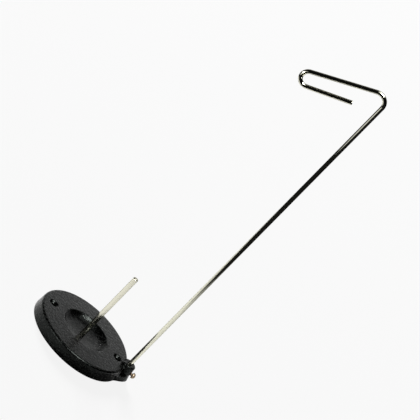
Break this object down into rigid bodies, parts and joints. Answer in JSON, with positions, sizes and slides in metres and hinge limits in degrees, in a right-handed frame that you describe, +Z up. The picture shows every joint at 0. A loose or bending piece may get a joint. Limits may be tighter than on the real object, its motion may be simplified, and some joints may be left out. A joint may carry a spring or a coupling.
{
  "type": "thread cone holder",
  "caption": "Round cast base with a dished centre and an upright spindle for a thread cone, and a tall bent-wire thread guide that swivels in a boss on the rim under a set screw.",
  "frame": {"origin": "on the spindle axis, at the underside of the base", "axes": "+Z up along the spindle, +X from the spindle towards the boss that holds the guide's mast"},
  "size_m": [0.1077, 0.096, 0.3675],
  "materials": {
    "enamelled_iron": "satin black enamel over a fine cast grain",
    "plated_steel": "bright plated wire",
    "brass": "turned, slightly dull"
  },
  "bodies": {
    "stand": {"base_casting": "enamelled_iron", "spindle": "plated_steel"},
    "guide": {"guide_rod": "plated_steel"},
    "screw": {"set_screw": "brass"}
  },
  "joints": [
    {"name": "guide_swivel", "type": "hinge", "parent": "stand", "child": "guide", "pos_m": [0.0483, 0, 0.009], "axis": [0, 0, 1], "continuous": true},
    {"name": "screw_turn", "type": "hinge", "parent": "stand", "child": "screw", "pos_m": [0.0553, 0, 0.0087], "axis": [1, 0, 0], "range_deg": [0, 450]}
  ]
}
